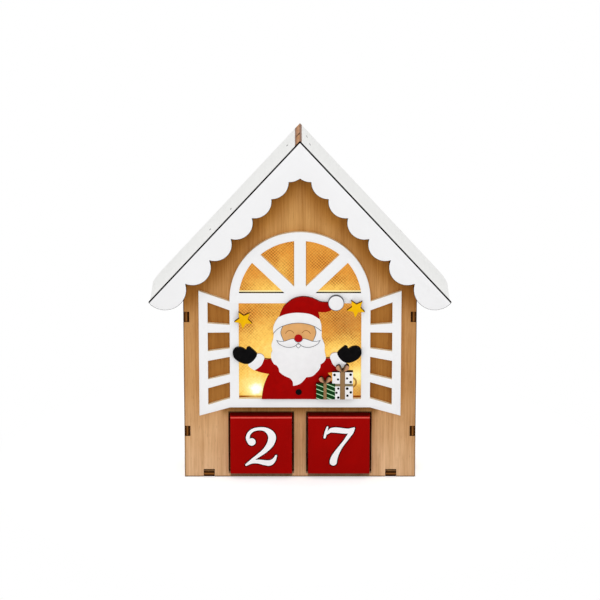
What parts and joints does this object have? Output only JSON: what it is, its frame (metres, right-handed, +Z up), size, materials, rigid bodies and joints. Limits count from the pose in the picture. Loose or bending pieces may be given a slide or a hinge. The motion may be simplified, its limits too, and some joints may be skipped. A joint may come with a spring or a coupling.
{
  "type": "advent calendar",
  "caption": "House-shaped wooden countdown calendar with a lit window scene, a gable roof and removable number cubes.",
  "frame": {"origin": "centre of the outline of the whole part, on the floor under the base board", "axes": "+Z up, -Y towards the viewer of the window, +X to the viewer's right"},
  "size_m": [0.1964, 0.055, 0.2307],
  "materials": {
    "plywood": "raw birch plywood with charred edges",
    "roof_paint": "white painted plywood",
    "white_paint": "white painted board",
    "woven_sheet": "woven sheet, lit from behind",
    "dark_red_paint": "dark red print",
    "off_white_paint": "white print",
    "black_paint": "black print",
    "skin_paint": "tan print",
    "red_paint": "glossy red paint",
    "tan_paint": "tan print",
    "green_paint": "dark green print with pale stripes",
    "yellow_paint": "yellow paint",
    "board": "pale fibre board",
    "lamp": "clear lamp with a warm glow",
    "lead_cover": "dark green cover",
    "black_plastic": "moulded, fine texture",
    "white_plastic": "moulded",
    "cell_cover": "printed sleeve",
    "steel": "bright"
  },
  "bodies": {
    "house": {"front_panel": "plywood", "back_panel": "plywood", "side_panel_left": "plywood", "side_panel_right": "plywood", "base_board": "plywood", "inner_shelf": "plywood", "block_divider": "plywood", "roof_panel_left": "roof_paint", "roof_panel_right": "roof_paint", "fascia_trim": "white_paint", "window_frame": "white_paint", "backdrop_sheet": "woven_sheet", "figure_plate": "plywood", "santa_coat": "dark_red_paint", "santa_cuffs": "off_white_paint", "santa_mittens": "black_paint", "santa_beard": "off_white_paint", "santa_face": "skin_paint", "santa_moustache": "off_white_paint", "santa_nose": "red_paint", "santa_hat": "dark_red_paint", "santa_hat_brim": "off_white_paint", "santa_pompom": "off_white_paint", "santa_button": "black_paint", "gift_white": "off_white_paint", "gift_white_ribbon": "tan_paint", "gift_green": "green_paint", "gift_green_ribbon": "tan_paint", "star_left": "yellow_paint", "star_right": "yellow_paint", "lamp_board": "board", "lamps": "lamp", "lamp_sleeves": "black_plastic", "lamp_lead": "lead_cover", "battery_box": "black_plastic", "battery_cells": "cell_cover", "contact_springs": "steel", "contact_plates": "steel", "switch_body": "black_plastic", "box_screws": "steel"},
    "battery_lid": {"battery_lid": "black_plastic"},
    "switch_knob": {"switch_knob": "white_plastic"},
    "tens_cube": {"tens_cube": "red_paint"},
    "units_cube": {"units_cube": "red_paint"}
  },
  "joints": [
    {"name": "tens_cube_slide", "type": "slide", "parent": "house", "child": "tens_cube", "axis": [0, -1, 0], "range_m": [0, 0.05]},
    {"name": "units_cube_slide", "type": "slide", "parent": "house", "child": "units_cube", "axis": [0, -1, 0], "range_m": [0, 0.05]},
    {"name": "battery_lid_slide", "type": "slide", "parent": "house", "child": "battery_lid", "axis": [-1, 0, 0], "range_m": [0, 0.058]},
    {"name": "switch_knob_slide", "type": "slide", "parent": "house", "child": "switch_knob", "axis": [0, 0, -1], "range_m": [0, 0.004]}
  ]
}
